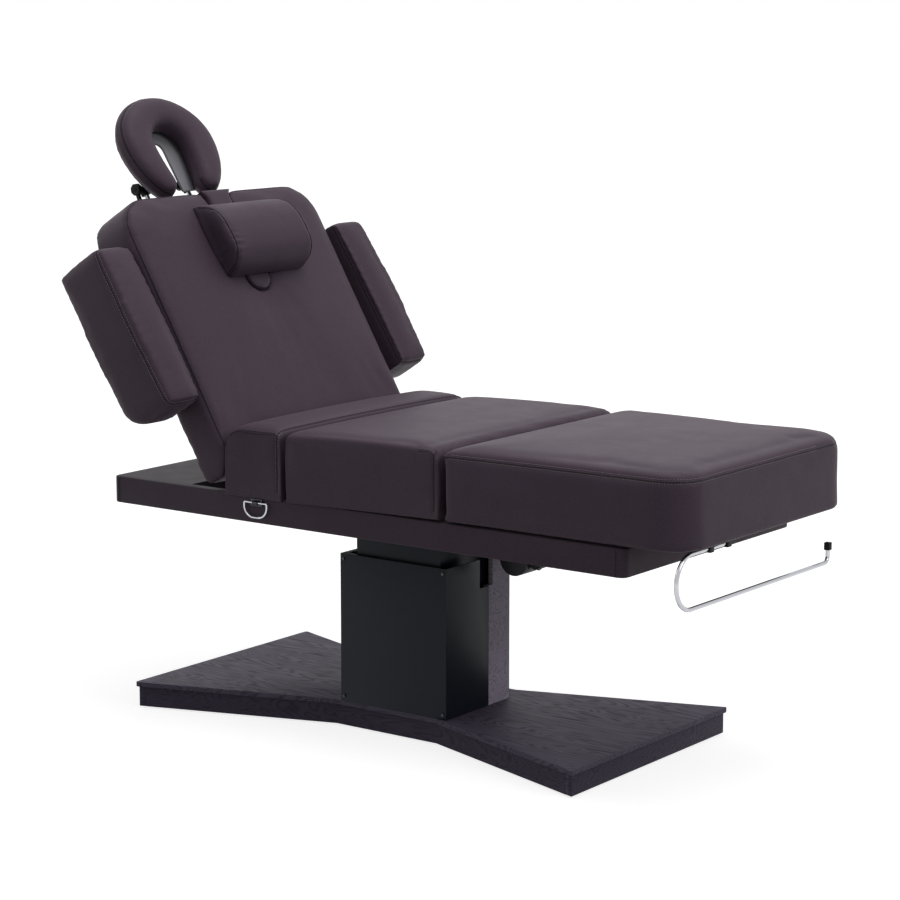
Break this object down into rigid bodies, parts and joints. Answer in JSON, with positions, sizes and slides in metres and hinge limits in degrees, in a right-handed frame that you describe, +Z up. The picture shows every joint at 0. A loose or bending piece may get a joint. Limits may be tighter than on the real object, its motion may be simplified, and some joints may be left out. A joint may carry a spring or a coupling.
{
  "type": "electric spa bed",
  "caption": "Adjustable padded spa bed on a lifting column: hinged back, thigh and leg pads, armrests, face cradle, pillow and a roll bar over a bow-tie base.",
  "frame": {"origin": "on the floor at the centre of the base, under the middle foot", "axes": "+X along the bed towards the foot end, +Y towards the far side, +Z up"},
  "size_m": [1.7879, 0.958, 1.4195],
  "materials": {
    "upholstery": "smooth coated leather in dark aubergine brown, low sheen",
    "frame_upholstery": "smooth coated leather in dark aubergine brown, low sheen",
    "plywood": "plywood, sealed",
    "base_veneer": "dark ash grain veneer, satin",
    "column_veneer": "dark ash grain veneer, satin",
    "skirt_board": "dark painted board, satin",
    "dark_steel": "powder coat, fine satin",
    "black_steel": "powder coat, satin",
    "grey_steel": "light grey powder coat",
    "chrome": "polished chrome",
    "drive_rod": "ground steel",
    "black_plastic": "moulded, fine texture",
    "clamp_black": "black powder coat",
    "rubber": "black rubber",
    "nylon": "natural nylon"
  },
  "bodies": {
    "base": {"base_top_panel": "base_veneer", "base_skirt_near": "skirt_board", "base_skirt_far": "skirt_board", "base_skirt_head": "skirt_board", "base_skirt_foot": "skirt_board", "base_steel_frame": "black_steel", "levelling_feet": "rubber", "column_near_cover": "dark_steel", "column_far_casing": "column_veneer", "cover_screws": "chrome", "lift_guide_outer": "black_steel", "lift_actuator_body": "black_plastic"},
    "carriage": {"column_inner_sleeve": "dark_steel", "lift_guide_inner": "black_steel", "lift_actuator_rod": "drive_rod", "cross_bars": "black_steel", "chassis_rails": "black_steel", "frame_rail_near": "frame_upholstery", "frame_rail_far": "frame_upholstery", "frame_rail_head": "frame_upholstery", "frame_rail_foot": "frame_upholstery", "head_deck": "frame_upholstery", "control_box": "black_plastic", "hip_board": "plywood", "hip_cushion": "upholstery", "hip_hinge_leaf": "black_steel", "knee_actuator_body": "black_plastic", "back_hinge_ears": "black_steel", "ring_plate": "chrome"},
    "thigh": {"thigh_board": "plywood", "thigh_cushion": "upholstery", "thigh_frame": "black_steel"},
    "leg": {"leg_board": "plywood", "leg_cushion": "upholstery", "leg_frame": "black_steel", "leg_glides": "nylon", "roll_bar": "chrome", "roll_bar_tip": "rubber", "roll_bar_clips": "black_steel"},
    "knee_rod": {"knee_actuator_rod": "drive_rod"},
    "back": {"back_hinge_frame": "black_steel", "back_board": "plywood", "back_cushion": "upholstery", "pillow": "upholstery", "armrest_bracket_near": "black_steel", "armrest_bracket_far": "black_steel", "cradle_sockets": "black_steel"},
    "slot_plug": {"face_plug": "upholstery"},
    "back_drive": {"back_actuator_body": "black_plastic"},
    "back_rod": {"back_actuator_rod": "drive_rod"},
    "armrest_near": {"armrest_arm_near": "black_steel", "armrest_pad_near": "upholstery"},
    "armrest_far": {"armrest_arm_far": "black_steel", "armrest_pad_far": "upholstery"},
    "cradle_carrier": {"cradle_rods": "chrome", "cradle_crossbar": "clamp_black"},
    "cradle": {"cradle_plate": "grey_steel", "cradle_cushion": "upholstery"},
    "cradle_cam": {"cam_lever": "clamp_black"},
    "ring": {"pull_ring": "chrome"}
  },
  "joints": [
    {"name": "lift_slide", "type": "slide", "parent": "base", "child": "carriage", "axis": [0, 0, 1], "range_m": [-0.065, 0.185]},
    {"name": "back_hinge", "type": "hinge", "parent": "carriage", "child": "back", "pos_m": [-0.3316, 0, 0.615], "axis": [0, 1, 0], "range_deg": [-57, 0]},
    {"name": "back_drive_hinge", "type": "hinge", "parent": "carriage", "child": "back_drive", "pos_m": [0.325, -0.004, 0.42], "axis": [0, 1, 0], "range_deg": [-0.05, 1.35]},
    {"name": "back_rod_slide", "type": "slide", "parent": "back_drive", "child": "back_rod", "axis": [-0.9889, 0, 0.1486], "range_m": [-0.0905, 0.0005]},
    {"name": "thigh_hinge", "type": "hinge", "parent": "carriage", "child": "thigh", "pos_m": [-0.1342, 0, 0.5675], "axis": [0, -1, 0], "range_deg": [0, 6.5]},
    {"name": "knee_hinge", "type": "hinge", "parent": "thigh", "child": "leg", "pos_m": [0.3036, 0, 0.572], "axis": [0, -1, 0], "range_deg": [-13, 0]},
    {"name": "knee_rod_slide", "type": "slide", "parent": "carriage", "child": "knee_rod", "axis": [1, 0, 0], "range_m": [0, 0.0103]},
    {"name": "slot_plug_slide", "type": "slide", "parent": "back", "child": "slot_plug", "axis": [-0.8394, 0, -0.5435], "range_m": [0, 0.16]},
    {"name": "armrest_near_hinge", "type": "hinge", "parent": "back", "child": "armrest_near", "pos_m": [-0.44325, -0.372, 0.76906], "axis": [0, 1, 0], "range_deg": [0, 123]},
    {"name": "armrest_far_hinge", "type": "hinge", "parent": "back", "child": "armrest_far", "pos_m": [-0.44325, 0.372, 0.76906], "axis": [0, 1, 0], "range_deg": [0, 123]},
    {"name": "cradle_slide", "type": "slide", "parent": "back", "child": "cradle_carrier", "axis": [-0.5435, 0, 0.8394], "range_m": [0, 0.12]},
    {"name": "cradle_tilt", "type": "hinge", "parent": "cradle_carrier", "child": "cradle", "pos_m": [-0.79569, 0, 1.21038], "axis": [0, 1, 0], "range_deg": [-40, 8]},
    {"name": "cradle_cam_hinge", "type": "hinge", "parent": "cradle_carrier", "child": "cradle_cam", "pos_m": [-0.79569, -0.098, 1.21038], "axis": [0, 1, 0], "range_deg": [0, 90]},
    {"name": "ring_hinge", "type": "hinge", "parent": "carriage", "child": "ring", "pos_m": [-0.218, -0.3475, 0.547], "axis": [-1, 0, 0], "range_deg": [0, 90]}
  ],
  "couplings": [
    {"joint": "back_drive_hinge", "follows": "back_hinge", "ratio": -0.02184},
    {"joint": "back_rod_slide", "follows": "back_hinge", "m_per_rad": 0.089971},
    {"joint": "knee_hinge", "follows": "thigh_hinge", "ratio": -2},
    {"joint": "knee_rod_slide", "follows": "thigh_hinge", "m_per_rad": 0.089652}
  ]
}
